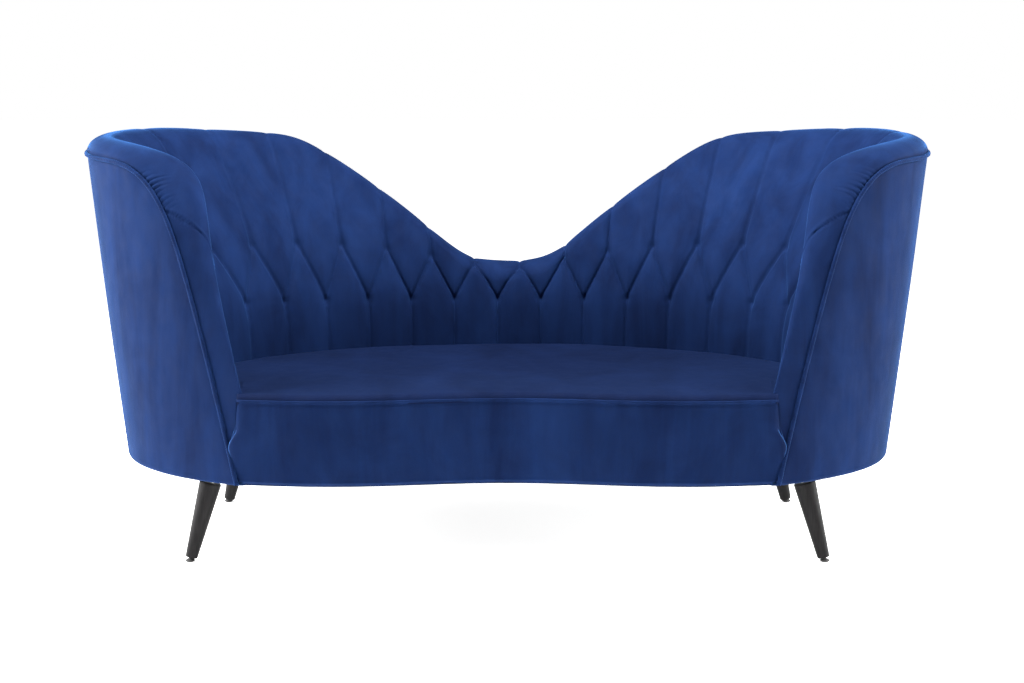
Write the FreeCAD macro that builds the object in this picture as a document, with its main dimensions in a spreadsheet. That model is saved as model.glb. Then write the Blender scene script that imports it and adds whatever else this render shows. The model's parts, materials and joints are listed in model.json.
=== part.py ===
import FreeCAD, Part
import math
import os
import Sketcher
from FreeCAD import Placement, Rotation, Vector

# Curved two-seat sofa on four turned legs.  Millimetres, +Z up, the sitter faces -Y.
# The origin is on the floor under the middle of the sofa.
# The wall of the back and arms is described by vertical sections through one upright axis, the pole.
# A section's angle is 0 at the middle of the back, 90 degrees at the side and more at the arm's front.

doc = FreeCAD.newDocument("curved_sofa")

DIMENSIONS = {
    # outside surface of the wall
    "pole_forward": 30.0,
    "base_height": 178.0,
    "outer_half_width": 865.0,
    "outer_rear_reach": 335.0,
    "outer_front_reach": 510.0,
    "side_flare": 0.11,
    "rear_flare": 0.116,
    "front_lean": 0.13,
    "rear_squareness": 2.3,
    "front_squareness": 2.5,
    # inside surface of the wall
    "inner_centre_back": 146.0,
    "inner_half_width": 660.0,
    "inner_rear_reach": 410.0,
    "inner_front_reach": 420.0,
    "lean_start": 540.0,
    "lean_blend": 60.0,
    "lean_slope": 0.55,
    "inner_front_lean": 1.3,
    "inner_centre_lean": 0.45,
    # top line: low in the middle, high at the wings
    "crest_low": 565.0,
    "crest_slope": 0.85,
    "crest_slope_start": 136.0,
    "crest_slope_end": 505.0,
    "crest_low_blend": 36.0,
    "crest_high_blend": 24.0,
    "wing_rise": 0.077,
    "wing_rise_start": 510.0,
    "wing_rise_blend": 30.0,
    "arm_fall": 1.1,
    "arm_fall_start": 84.0,
    "arm_fall_blend": 4.0,
    # front line of the arm and line of the welt
    "arm_end_angle": 127.2,
    "front_edge_height": 368.0,
    "front_edge_rise": 34.2,
    "welt_rise": 44.8,
    "welt_foot_angle": 127.6,
    "corner_blend": 92.0,
    "corner_angle": 111.0,
    "corner_spread": 7.0,
    "corner_lift": 22.0,
    "welt_drop": 40.0,
    "inner_drop": 44.0,
    "crest_share_top": 0.5,
    "crest_share_front": 0.7,
    "welt_radius": 4.5,
    # seat and front border
    "seat_height": 372.0,
    "seat_tuck_height": 330.0,
    "border_mean": 398.0,
    "border_wave": 17.0,
    "border_wave_length": 370.0,
    "border_half_width": 560.0,
    "seat_foam_depth": 92.0,
    # cloth, padding and timber
    "cloth": 2.0,
    "gap": 0.4,
    "padding": 24.0,
    "arm_padding": 18.0,
    "border_padding": 16.0,
    "rail_thickness": 25.0,
    "base_rail_height": 86.0,
    "base_rail_bottom": 184.0,
    "cross_rail_height": 22.0,
    "cross_rail_width": 40.0,
    "cross_rail_spacing": 300.0,
    "cross_rail_length": 627.0,
    "tack_rail_height": 40.0,
    "tack_rail_setback": 2.0,
    "top_rail_height": 45.0,
    "post_width": 45.0,
    "post_thickness": 22.0,
    "webbing_width_angle": 3.0,
    # springs
    "spring_wire_radius": 1.9,
    "spring_half_width": 22.0,
    "spring_pitch": 30.0,
    "spring_spacing": 120.0,
    "spring_height": 276.0,
    "clip_length": 16.0,
    "clip_width": 14.0,
    "clip_thickness": 3.0,
    "seat_cover_inset": 1.0,
    "seat_foam_inset": 3.0,
    "deck_inset": 6.0,
    "deck_setback": 3.0,
    "lining_thickness": 1.2,
    "lining_inset": 14.0,
    "block_depth": 60.0,
    "block_height": 50.0,
    # legs
    "foot_side": 676.0,
    "foot_front": 340.0,
    "foot_rear": 157.0,
    "leg_splay": 14.6,
    "leg_rake": 8.0,
    "leg_top_radius": 23.5,
    "leg_bottom_radius": 13.0,
    "leg_bottom_height": 9.0,
    "leg_edge_break": 1.0,
    "glide_radius": 10.0,
    "glide_flat_radius": 6.5,
    "glide_height": 7.4,
    "plate_size": 52.0,
    "plate_thickness": 2.5,
    "plate_turn": 27.0,
    "plate_hole_spacing": 38.5,
    "plate_hole_radius": 2.4,
    "plate_bolt_slack": 3.0,
    "bolt_room": 1.0,
    "screw_room": 0.1,
    "bolt_radius": 4.0,
    "bolt_length": 55.0,
    "bolt_share_in_leg": 0.45,
    "screw_radius": 2.0,
    "screw_head_radius": 3.6,
    "screw_head_height": 2.0,
    "screw_length": 18.0,
}

sheet = doc.addObject("Spreadsheet::Sheet", "Dimensions")
for row, (alias, value) in enumerate(DIMENSIONS.items(), start=1):
    sheet.set(f"A{row}", alias)
    sheet.set(f"B{row}", str(value))
    sheet.setAlias(f"B{row}", alias)
doc.recompute()


def dim(alias):
    """A driving dimension, read back from the sheet."""
    return float(getattr(sheet, alias))


# Small step, in radians, that gives the direction of the wall beside a post
NEARBY = 0.03

# Where the wall is divided, in degrees from the middle of the back
CENTRE_END = 62.0
BACK_END = 75.0
WING_END = 103.0
ARM_END = dim("arm_end_angle") - 0.2
# The padded roll stops short of the end of the arm
ROLL_STOP = ARM_END - 2.0
SIDE_RAIL_END = 108.0
TOP_RAIL_END = 106.0
INNER_RAIL_END = 100.0
SEAT_END = 126.0
SEAM = 0.08
# The crest's line is worked out at this height, and stays level past this angle
CREST_LEVEL = 800.0
CREST_SIDE = 80.0
# Angles over which the padded edge turns from facing up to facing forward
FRONT_TURN_START = 106.0
FRONT_TURN_SPAN = 10.0
ROLL_STEPS = 12
# The frame stands this far inside the covers
FRAME_INSET = 6.0
POST_INSET = 12.0
# The leg rails run from inside the front block to past the rear plate, in widths of the block
LEG_RAIL_START = 0.65
LEG_RAIL_TAIL = 1.2
SIDES = ((1, "right"), (-1, "left"))
CORNERS = (
    (-1, -1, "front_left"),
    (1, -1, "front_right"),
    (-1, 1, "rear_left"),
    (1, 1, "rear_right"),
)


# ---------------------------------------------------------------- the surfaces of the wall

def ramp(value, start, blend):
    """Zero below start and value - start above it, with a rounded corner."""
    x = (value - start) / blend
    return blend * (x if x > 40 else math.log1p(math.exp(x)))


def soft_minimum(first, second, blend):
    low = min(first, second)
    spread = math.exp((low - first) / blend) + math.exp((low - second) / blend)
    return low - blend * math.log(spread)


def outer_reach(angle, height):
    """Distance of the outside surface from the pole."""
    up = height - dim("base_height")
    side = dim("outer_half_width") + dim("side_flare") * up
    if math.cos(angle) >= 0:
        end = dim("outer_rear_reach") + dim("rear_flare") * up
        power = dim("rear_squareness")
    else:
        end = dim("outer_front_reach") - dim("front_lean") * up
        power = dim("front_squareness")
    across = abs(math.sin(angle)) / side
    along = abs(math.cos(angle)) / end
    return (across ** power + along ** power) ** (-1 / power)


def inner_reach(angle, height):
    """Distance of the inside surface from the pole: a half ellipse behind, another in front."""
    lean = dim("lean_slope") * ramp(height, dim("lean_start"), dim("lean_blend"))
    side = dim("inner_half_width") + lean
    back_shift = dim("inner_centre_lean") * lean
    shift = dim("pole_forward") + dim("inner_centre_back") - back_shift
    rear = dim("inner_rear_reach") + lean - back_shift
    front = dim("inner_front_reach") - dim("inner_front_lean") * lean
    for end in (rear, front):
        a = (math.sin(angle) / side) ** 2 + (math.cos(angle) / end) ** 2
        b = 2 * math.cos(angle) * shift / end ** 2
        c = (shift / end) ** 2 - 1
        reach = (-b + math.sqrt(b * b - 4 * a * c)) / (2 * a)
        if reach * math.cos(angle) + shift >= 0:
            return reach
    return reach


def crest_height(angle):
    """Highest line of the padded edge: the valley in the middle, the wings, then down the arm."""
    reach = (outer_reach(angle, CREST_LEVEL) + inner_reach(angle, CREST_LEVEL)) / 2
    across = abs(reach * math.sin(min(abs(angle), math.radians(CREST_SIDE))))
    slope = ramp(across, dim("crest_slope_start"), dim("crest_low_blend"))
    slope -= ramp(across, dim("crest_slope_end"), dim("crest_high_blend"))
    top = dim("crest_low") + dim("crest_slope") * slope
    top += dim("wing_rise") * ramp(across, dim("wing_rise_start"), dim("wing_rise_blend"))
    degrees = abs(math.degrees(angle))
    top -= dim("arm_fall") * ramp(degrees, dim("arm_fall_start"), dim("arm_fall_blend"))
    front = dim("front_edge_height") + dim("front_edge_rise") * (dim("arm_end_angle") - degrees)
    return soft_minimum(top, front, dim("corner_blend"))


def welt_height(angle):
    """Height of the welt on the outside surface, which lies closer to the crest at the corner."""
    degrees = abs(math.degrees(angle))
    from_corner = (degrees - dim("corner_angle")) / dim("corner_spread")
    lift = dim("corner_lift") * math.exp(-from_corner ** 2)
    top = crest_height(angle) - dim("welt_drop") + lift
    front = dim("base_height") + dim("welt_rise") * (dim("welt_foot_angle") - degrees)
    return soft_minimum(top, front, dim("corner_blend") / 4)


def point_at(angle, reach, height):
    return Vector(reach * math.sin(angle), dim("pole_forward") + reach * math.cos(angle), height)


def wall_profile(angle):
    """The section's outline as (reach, height) pairs, in three stretches."""
    base = dim("base_height")
    welt = welt_height(angle)
    crest = crest_height(angle)
    inner_top = max(dim("seat_tuck_height") + 20, crest - dim("inner_drop"))
    outside = [base + (welt - base) * i / 5 for i in range(6)]
    outside = [(outer_reach(angle, z), z) for z in outside]
    inside = [inner_top + (dim("seat_tuck_height") - inner_top) * i / 6 for i in range(7)]
    inside = [(inner_reach(angle, z), z) for z in inside]
    forward = min(max((abs(math.degrees(angle)) - FRONT_TURN_START) / FRONT_TURN_SPAN, 0), 1)
    share = dim("crest_share_top") + forward * (dim("crest_share_front") - dim("crest_share_top"))
    middle = outside[-1][0] + share * (inside[0][0] - outside[-1][0])
    roll = []
    for i in range(1, ROLL_STEPS):
        turn = math.pi * i / ROLL_STEPS
        side = outside[-1] if turn <= math.pi / 2 else inside[0]
        reach = middle + abs(side[0] - middle) * math.cos(turn)
        roll.append((reach, side[1] + (crest - side[1]) * math.sin(turn)))
    return outside, roll, inside


def offset_line(line, distance):
    """The same open line moved to its right-hand side, into the wall."""
    moved = []
    for i, (reach, height) in enumerate(line):
        before = line[max(i - 1, 0)]
        after = line[min(i + 1, len(line) - 1)]
        along = (after[0] - before[0], after[1] - before[1])
        size = math.hypot(*along)
        moved.append((reach - distance * along[1] / size, height + distance * along[0] / size))
    return moved


def layer_section(angle, stretch, depth, thickness):
    """Closed wire of a layer lying depth below the surface along one stretch of the profile."""
    outside, roll, inside = wall_profile(angle)
    line = {
        "outside": outside,
        "inside": inside,
        "roll": [outside[-1]] + roll + [inside[0]],
        "over": outside[-1:] + roll + inside[1:],
    }[stretch]
    near = [point_at(angle, *p) for p in offset_line(line, depth)]
    far = [point_at(angle, *p) for p in reversed(offset_line(line, depth + thickness))]
    edges = []
    for points in (near, far):
        curve = Part.BSplineCurve()
        curve.interpolate(points)
        edges.append(curve.toShape())
    first_end = Part.makeLine(near[-1], far[0])
    last_end = Part.makeLine(far[-1], near[0])
    return Part.Wire([edges[0], first_end, edges[1], last_end])


def section_angles(start, end, step):
    """Angles in radians from start to end, both in degrees, about step apart."""
    count = max(3, math.ceil(abs(end - start) / step) + 1)
    return [math.radians(start + (end - start) * i / (count - 1)) for i in range(count)]


def wall_layer(start, end, stretch, depth, thickness, step=5.0, ruled=False):
    """Solid lofted through a layer's sections between two angles in degrees."""
    angles = section_angles(start, end, step)
    wires = [layer_section(angle, stretch, depth, thickness) for angle in angles]
    return Part.makeLoft(wires, True, ruled)


def shape_feature(label, shape):
    """A sub-part whose shape is computed from the sheet."""
    feature = doc.addObject("Part::Feature", label)
    feature.Shape = shape
    feature.Placement = Placement()
    return feature


def border_line(across, inset):
    """Front outline in plan: two full lobes with a shallow recess between them."""
    wave = dim("border_wave") * math.cos(math.pi * across / dim("border_wave_length"))
    return wave - dim("border_mean") + inset


def border_curve(inset, half_width, height):
    points = []
    for i in range(17):
        across = half_width * (i / 8 - 1)
        points.append(Vector(across, border_line(across, inset), height))
    curve = Part.BSplineCurve()
    curve.interpolate(points)
    return curve.toShape()


def wall_curve(start, end, height, reach_function, inset, count=25):
    """Horizontal spline round the wall between two angles in degrees."""
    points = []
    for i in range(count):
        angle = math.radians(start + (end - start) * i / (count - 1))
        points.append(point_at(angle, reach_function(angle, height) - inset, height))
    curve = Part.BSplineCurve()
    curve.interpolate(points)
    return curve.toShape()


def extrude_outline(edges, height):
    """Solid of a flat closed outline raised by height."""
    return Part.Face(Part.Wire(edges)).extrude(Vector(0, 0, height))


def close_outline(first, second):
    """The two straight edges that join the ends of two open curves."""
    starts = [first.Vertexes[0].Point, second.Vertexes[0].Point]
    ends = [first.Vertexes[-1].Point, second.Vertexes[-1].Point]
    return Part.makeLine(*starts), Part.makeLine(*ends)


def upright_strip(first, second, height):
    """Upright board between two horizontal curves."""
    return extrude_outline([first, *close_outline(first, second), second], height)


# ---------------------------------------------------------------- upholstery

def wall_cloths():
    """Cloth covers: outside back and arms, and the inside cover that runs over the edge."""
    cloth = dim("cloth")
    shape_feature("outside_back_cover", wall_layer(-BACK_END, BACK_END, "outside", 0, cloth))
    shape_feature("inside_back_cover", wall_layer(-WING_END, WING_END, "over", 0, cloth))
    for side, name in SIDES:
        outside = wall_layer(side * (BACK_END + SEAM), side * ARM_END, "outside", 0, cloth, 2.0)
        shape_feature("outside_arm_cover_" + name, outside)
        front = wall_layer(side * (WING_END + SEAM), side * ARM_END, "over", 0, cloth, 1.0, True)
        shape_feature("arm_front_cover_" + name, front)


def wall_padding():
    """Sheets of padding behind the inside cover, in the pieces they are cut in."""
    depth = dim("cloth") + dim("gap")
    padding = dim("padding")
    thin = dim("arm_padding")
    shape_feature("inside_back_padding", wall_layer(-CENTRE_END, CENTRE_END, "inside", depth, padding))
    for side, name in SIDES:
        wing = wall_layer(side * (CENTRE_END + SEAM), side * WING_END, "inside", depth, padding, 3.0)
        shape_feature("wing_padding_" + name, wing)
        front = wall_layer(side * (WING_END + SEAM), side * ARM_END, "inside", depth, thin, 1.5)
        shape_feature("arm_front_padding_" + name, front)


def roll_section(angle, slack):
    """D-shaped section of the padded roll on top of the wall, lying slack below its cover."""
    outside, roll, inside = wall_profile(angle)
    depth = dim("cloth") + slack
    line = offset_line([outside[-1]] + roll + [inside[0]], depth)[1:-1]
    curve = Part.BSplineCurve()
    curve.interpolate([point_at(angle, *p) for p in line])
    chord = Part.makeLine(point_at(angle, *line[-1]), point_at(angle, *line[0]))
    return Part.Wire([curve.toShape(), chord])


def edge_rolls():
    """Padded roll along the top of the back, round the wings and down the front of each arm."""
    def roll(start, end, step, slack, ruled):
        wires = [roll_section(angle, slack) for angle in section_angles(start, end, step)]
        return Part.makeLoft(wires, True, ruled)

    gap = dim("gap")
    shape_feature("back_edge_roll", roll(-CENTRE_END, CENTRE_END, 4.0, 5 * gap, False))
    for side, name in SIDES:
        wing = roll(side * (CENTRE_END + SEAM), side * WING_END, 3.0, 5 * gap, False)
        shape_feature("wing_edge_roll_" + name, wing)
        front = roll(side * (WING_END + SEAM), side * ROLL_STOP, 1.0, gap, True)
        shape_feature("arm_front_roll_" + name, front)


def tube_along(points, radius):
    """Round cord whose centre line is a smooth curve through the points."""
    curve = Part.BSplineCurve()
    curve.interpolate(points)
    start = curve.FirstParameter
    circle = Part.Wire(Part.makeCircle(radius, points[0], curve.tangent(start)[0]))
    path = Part.Wire(curve.toShape())
    return path.makePipeShell([circle], True, True)


def welts():
    """Corded welt: up the front of each arm, round the wing and down to the middle of the back."""
    radius = dim("welt_radius")
    for side, name in SIDES:
        points = []
        for angle in section_angles(side * 0.15, side * (dim("welt_foot_angle") - 0.1), 2.5):
            height = welt_height(angle)
            points.append(point_at(angle, outer_reach(angle, height) + radius * 0.6, height))
        shape_feature("edge_welt_" + name, tube_along(points, radius))


# ---------------------------------------------------------------- timber frame

def outer_board(start, end, bottom, height, inset, thickness):
    """Upright curved board that follows the outside surface at its foot."""
    first = wall_curve(start, end, bottom, outer_reach, inset)
    second = wall_curve(start, end, bottom, outer_reach, inset + thickness)
    return upright_strip(first, second, height)


def inner_board(start, end, bottom, height, inset, thickness):
    """Upright curved board behind the inside padding."""
    first = wall_curve(start, end, bottom, inner_reach, -inset)
    second = wall_curve(start, end, bottom, inner_reach, -inset - thickness)
    return upright_strip(first, second, height)


def base_rails():
    """Rails of the base: a wavy front rail and bent rails at the rear and sides."""
    bottom = dim("base_rail_bottom")
    height = dim("base_rail_height")
    thickness = dim("rail_thickness")
    front_inset = dim("cloth") + 2 * dim("gap") + dim("border_padding")
    half = dim("border_half_width") - 2 * thickness
    outside = border_curve(front_inset, half, bottom)
    inside = border_curve(front_inset + thickness, half, bottom)
    shape_feature("base_rail_front", upright_strip(outside, inside, height))
    rear = outer_board(-BACK_END, BACK_END, bottom, height, FRAME_INSET, thickness)
    shape_feature("base_rail_rear", rear)
    for side, name in SIDES:
        start = side * (BACK_END + SEAM)
        board = outer_board(start, side * SIDE_RAIL_END, bottom, height, FRAME_INSET, thickness)
        shape_feature("base_rail_" + name, board)
        start = side * (SIDE_RAIL_END + SEAM)
        depth = dim("block_depth")
        block = outer_board(start, side * SEAT_END, bottom, dim("block_height"), FRAME_INSET, depth)
        drilled_piece("corner_block_" + name, block, [(side, -1)])


def bound_box(label, length, width, height):
    """Box whose three sizes are expressions of the sheet."""
    box = doc.addObject("Part::Box", label)
    box.setExpression("Length", length)
    box.setExpression("Width", width)
    box.setExpression("Height", height)
    return box


def cross_rails():
    """Three straight rails from the front rail to the rear rail."""
    front = -dim("border_mean") + 2 * dim("border_wave") + dim("border_padding") + dim("rail_thickness")
    rails = []
    for index in (-1, 0, 1):
        rail = bound_box(
            "cross_rail",
            "Dimensions.cross_rail_width",
            "Dimensions.cross_rail_length",
            "Dimensions.cross_rail_height",
        )
        left = index * dim("cross_rail_spacing") - dim("cross_rail_width") / 2
        rail.Placement.Base = Vector(left, front, dim("base_rail_bottom"))
        rails.append(rail)
    group("cross_rails", rails)


def leg_rails():
    """Rails from the front corner blocks to the rear rail, which the rear legs bolt into."""
    for side, name in SIDES:
        front = plate_centre(side, -1)
        back = plate_centre(side, 1)
        width = dim("block_depth")
        start = front.y + width * LEG_RAIL_START
        corner = Vector(front.x - width / 2, start, dim("base_rail_bottom"))
        length = back.y + width * LEG_RAIL_TAIL - start
        rail = Part.makeBox(width, length, dim("block_height"), corner)
        drilled_piece("leg_rail_" + name, rail, [(side, 1)])


def group(label, members):
    """One node that holds several separate solids."""
    compound = doc.addObject("Part::Compound", label)
    compound.Links = members
    return compound


def post(degrees, bottom, top, inset):
    """Board standing in the wall behind the outside cover, leaning with it."""
    angle = math.radians(degrees)
    near = [angle - NEARBY, angle + NEARBY]
    ends = [point_at(item, outer_reach(item, bottom), bottom) for item in near]
    along = (ends[1] - ends[0]).normalize()
    inward = Vector(along.y, -along.x, 0)
    across = along * (dim("post_width") / 2)
    depth = inward * dim("post_thickness")
    wires = []
    for height in (bottom, top):
        start = point_at(angle, outer_reach(angle, height), height) + inward * inset
        corners = [start - across, start + across, start + across + depth, start - across + depth]
        wires.append(Part.makePolygon(corners + corners[:1]))
    return Part.makeLoft(wires, True, True)


def posts():
    """Posts from the base rails up to the top rails."""
    bottom = dim("base_rail_bottom") + dim("base_rail_height") + dim("gap")
    for name, degrees in (("back_posts_inner", 18), ("back_posts_outer", 50), ("wing_posts", 70),
                          ("side_posts", 92), ("arm_posts", 111)):
        angle = math.radians(degrees)
        top = welt_height(angle) - dim("top_rail_height") - 3 * FRAME_INSET
        pair = [post(side * degrees, bottom, top, POST_INSET) for side, side_name in SIDES]
        shape_feature(name, Part.makeCompound(pair))


def top_rail_section(angle):
    """Rectangular section of a top rail, just under the padded roll."""
    top = welt_height(angle) - FRAME_INSET
    bottom = top - dim("top_rail_height")
    outside = outer_reach(angle, bottom) - FRAME_INSET
    inside = outside - dim("rail_thickness")
    corners = [(outside, bottom), (outside, top), (inside, top), (inside, bottom), (outside, bottom)]
    return Part.makePolygon([point_at(angle, *corner) for corner in corners])


def top_rails():
    """Bent rails that carry the padded roll: one across the dip, one over each wing."""
    def rail(start, end):
        wires = [top_rail_section(angle) for angle in section_angles(start, end, 4.0)]
        return Part.makeLoft(wires, True, False)

    shape_feature("top_rail_back", rail(-CENTRE_END, CENTRE_END))
    for side, name in SIDES:
        shape_feature("top_rail_" + name, rail(side * (CENTRE_END + SEAM), side * TOP_RAIL_END))


def inner_rails():
    """Curved rails behind the seat: the spring rail, and the tacking rail above the seat."""
    inset = dim("cloth") + dim("padding") + 4 * dim("gap")
    bottom = dim("base_rail_bottom") + dim("block_height") + dim("gap")
    top = dim("base_rail_bottom") + dim("base_rail_height")
    thickness = dim("rail_thickness")
    spring_rail = inner_board(-INNER_RAIL_END, INNER_RAIL_END, bottom, top - bottom, inset, thickness)
    shape_feature("spring_rail_rear", spring_rail)
    tack_height = dim("tack_rail_height")
    tack_bottom = dim("seat_height") + tack_height / 2
    tack_inset = inset + dim("tack_rail_setback")
    tack = inner_board(-INNER_RAIL_END, INNER_RAIL_END, tack_bottom, tack_height, tack_inset, thickness)
    shape_feature("tacking_rail", tack)


def webbing():
    """Upright bands of webbing behind the back padding, from the tacking rail to the top rail."""
    depth = dim("cloth") + dim("padding") + 3 * dim("gap")
    half = dim("webbing_width_angle") / 2
    bands = []
    for degrees in (-80, -59, -41, -27, -9, 9, 27, 41, 59, 80):
        band = wall_layer(degrees - half, degrees + half, "inside", depth, dim("gap") * 2, 2.0)
        bands.append(band)
    shape_feature("back_webbing", Part.makeCompound(bands))


# ---------------------------------------------------------------- seat

def seat_outline(inset, front_inset, height):
    """Plan of the seat: the inside of the wall behind, the wavy border in front."""
    rear = wall_curve(-SEAT_END, SEAT_END, height, inner_reach, inset, 41)
    half = dim("border_half_width") - inset
    front = border_curve(front_inset, half, height)
    return [rear, *close_outline(rear, front), front]


def seat_layers():
    """Cover, foam and deck cloth of the seat, from the top down."""
    cloth = dim("cloth")
    gap = dim("gap")
    top = dim("seat_height")
    foam_bottom = top - cloth - gap - dim("seat_foam_depth")
    cover = seat_outline(dim("seat_cover_inset"), 0, top - cloth)
    shape_feature("seat_cover", extrude_outline(cover, cloth))
    behind_border = cloth + dim("border_padding") + 2 * gap
    foam = seat_outline(dim("seat_foam_inset"), behind_border, foam_bottom)
    shape_feature("seat_foam", extrude_outline(foam, dim("seat_foam_depth")))
    thickness = dim("lining_thickness")
    deck_bottom = foam_bottom - gap - thickness
    deck = seat_outline(dim("deck_inset"), behind_border + dim("deck_setback"), deck_bottom)
    shape_feature("spring_deck_cloth", extrude_outline(deck, thickness))


def front_border():
    """Upholstered front border under the seat's front edge."""
    cloth = dim("cloth")
    gap = dim("gap")
    half = dim("border_half_width") - cloth
    top = dim("seat_height") - cloth - gap
    outside = border_curve(0, half, dim("base_height"))
    inside = border_curve(cloth, half, dim("base_height"))
    shape_feature("front_border_cover", upright_strip(outside, inside, top - dim("base_height")))
    bottom = dim("base_rail_bottom")
    padding_front = border_curve(cloth + gap, half - cloth, bottom)
    padding_back = border_curve(cloth + gap + dim("border_padding"), half - cloth, bottom)
    padding = upright_strip(padding_front, padding_back, top - bottom)
    shape_feature("front_border_padding", padding)


def spring_path(across, front, rear):
    """Zigzag centre line: straight bars across, joined by half circles at alternate ends."""
    pitch = dim("spring_pitch")
    half = dim("spring_half_width")
    height = dim("spring_height")
    count = int((rear - front) / pitch)
    start = (front + rear - count * pitch) / 2
    edges = []
    for i in range(count + 1):
        along = start + i * pitch
        direction = 1 if i % 2 else -1
        begin = Vector(across - direction * half, along, height)
        end = Vector(across + direction * half, along, height)
        edges.append(Part.makeLine(begin, end))
        if i < count:
            tip = Vector(across + direction * (half + pitch / 2), along + pitch / 2, height)
            edges.append(Part.Arc(end, tip, end + Vector(0, pitch, 0)).toShape())
    return Part.Wire(edges)


def spring_ends(across):
    """Front and rear end of the spring that lies this far from the middle."""
    front = border_line(across, dim("border_padding") + dim("rail_thickness") / 2)
    inner = dim("inner_rear_reach") * math.sqrt(1 - (across / dim("inner_half_width")) ** 2)
    rear = inner - dim("inner_centre_back") + dim("padding") + dim("rail_thickness") / 2
    return front, rear


def seat_springs():
    """Zigzag springs under the deck cloth and the clips that hold their ends."""
    radius = dim("spring_wire_radius")
    length = dim("clip_length")
    width = dim("clip_width")
    clips = []
    springs = []
    for index in range(-4, 5):
        across = index * dim("spring_spacing")
        front, rear = spring_ends(across)
        path = spring_path(across, front, rear)
        first = path.Edges[0]
        circle = Part.makeCircle(radius, first.Vertexes[0].Point, Vector(1, 0, 0))
        springs.append(path.makePipeShell([Part.Wire(circle)], True, False))
        for along in (front, rear):
            top = dim("base_rail_bottom") + dim("base_rail_height") + dim("gap")
            corner = Vector(across - length / 2, along - width / 2, top)
            clips.append(Part.makeBox(length, width, dim("clip_thickness"), corner))
    shape_feature("seat_springs", Part.makeCompound(springs))
    shape_feature("spring_clips", Part.makeCompound(clips))


def dust_cover():
    """Thin black cloth stapled under the base."""
    thickness = dim("lining_thickness")
    inset = dim("lining_inset")
    height = dim("base_height") + thickness / 2
    rear = wall_curve(-SEAT_END, SEAT_END, height, outer_reach, inset, 41)
    front = border_curve(inset, dim("border_half_width") - inset, height)
    outline = [rear, *close_outline(rear, front), front]
    return extrude_outline(outline, thickness)


# ---------------------------------------------------------------- legs

def line_profile(body, label, role, points):
    """Closed sketch of straight lines on one of the body's own origin planes.

    Each point is a pair of expressions, one for each axis of the sketch; "0" is fixed on the axis.
    """
    sketch = body.newObject("Sketcher::SketchObject", label)
    plane = [item for item in body.Origin.OriginFeatures if item.Role == role][0]
    sketch.AttachmentSupport = (plane, "")
    sketch.MapMode = "FlatFace"
    values = [[evaluate(text) for text in point] for point in points]
    count = len(points)
    for i in range(count):
        begin = Vector(*values[i], 0)
        end = Vector(*values[(i + 1) % count], 0)
        sketch.addGeometry(Part.LineSegment(begin, end), False)
    for i in range(count):
        sketch.addConstraint(Sketcher.Constraint("Coincident", i, 2, (i + 1) % count, 1))
    for i, point in enumerate(points):
        for kind, text, value in zip(("DistanceX", "DistanceY"), point, values[i]):
            index = sketch.addConstraint(Sketcher.Constraint(kind, -1, 1, i, 1, value))
            if text != "0":
                sketch.setExpression(f"Constraints[{index}]", text)
    return sketch


def evaluate(text):
    """Value of an expression of the sheet, worked out by the sheet itself."""
    return float(sheet.evalExpression(text))


def revolved_body(label, points):
    """Body turned round its own Z axis from a profile of (radius, height) expressions."""
    body = doc.addObject("PartDesign::Body", label)
    sketch = line_profile(body, label + "_profile", "XZ_Plane", points)
    turning = body.newObject("PartDesign::Revolution", label + "_turning")
    turning.Profile = sketch
    turning.ReferenceAxis = (sketch, ["V_Axis"])
    turning.Angle = 360
    return body


def leg_direction(side, end):
    """Unit vector up the leg, leaning in towards the middle of the sofa."""
    inward = -side * math.tan(math.radians(dim("leg_splay")))
    back = -end * math.tan(math.radians(dim("leg_rake")))
    return Vector(inward, back, 1).normalize()


def leg_point(side, end, height):
    """Point of the leg's axis at a height above the floor."""
    along = -dim("foot_front") if end < 0 else dim("foot_rear")
    up = leg_direction(side, end)
    return Vector(side * dim("foot_side"), along, 0) + up * (height / up.z)


def leg_top_height():
    """Height at which the tilted top of a leg just clears the plate above it."""
    tilt = math.hypot(math.tan(math.radians(dim("leg_splay"))), math.tan(math.radians(dim("leg_rake"))))
    return dim("base_height") - dim("plate_thickness") - dim("leg_top_radius") * tilt - dim("gap")


def make_legs():
    """Four turned, tapered legs with a blind hole in the top for the bolt."""
    length = (leg_top_height() - dim("leg_bottom_height")) / leg_direction(1, 1).z
    row = len(DIMENSIONS) + 1
    sheet.set(f"A{row}", "leg_length")
    sheet.set(f"B{row}", str(length))
    sheet.setAlias(f"B{row}", "leg_length")
    doc.recompute()
    hole = "Dimensions.bolt_radius + Dimensions.screw_room"
    depth = "-0.5 * Dimensions.bolt_length"
    profile = [
        (hole, "0"),
        ("Dimensions.leg_top_radius - Dimensions.leg_edge_break", "0"),
        ("Dimensions.leg_top_radius", "-Dimensions.leg_edge_break"),
        ("Dimensions.leg_bottom_radius", "-Dimensions.leg_length"),
        ("0", "-Dimensions.leg_length"),
        ("0", depth),
        (hole, depth),
    ]
    for side, end, name in CORNERS:
        leg = revolved_body("leg_" + name, profile)
        turn = Rotation(Vector(0, 0, 1), leg_direction(side, end))
        leg.Placement = Placement(leg_point(side, end, leg_top_height()), turn)


def make_glides():
    """Round nylon glides nailed under the feet, flat where they stand on the floor."""
    profile = [
        ("0", "0"),
        ("Dimensions.glide_flat_radius", "0"),
        ("Dimensions.glide_radius", "0.3 * Dimensions.glide_height"),
        ("Dimensions.glide_radius", "0.55 * Dimensions.glide_height"),
        ("0.7 * Dimensions.glide_radius", "0.85 * Dimensions.glide_height"),
        ("0.3 * Dimensions.glide_radius", "Dimensions.glide_height"),
        ("0.3 * Dimensions.glide_radius", "Dimensions.leg_bottom_height - 1"),
        ("0", "Dimensions.leg_bottom_height - 1"),
    ]
    for side, end, name in CORNERS:
        glide = revolved_body("foot_glide_" + name, profile)
        glide.Placement.Base = leg_point(side, end, 0)


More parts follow.
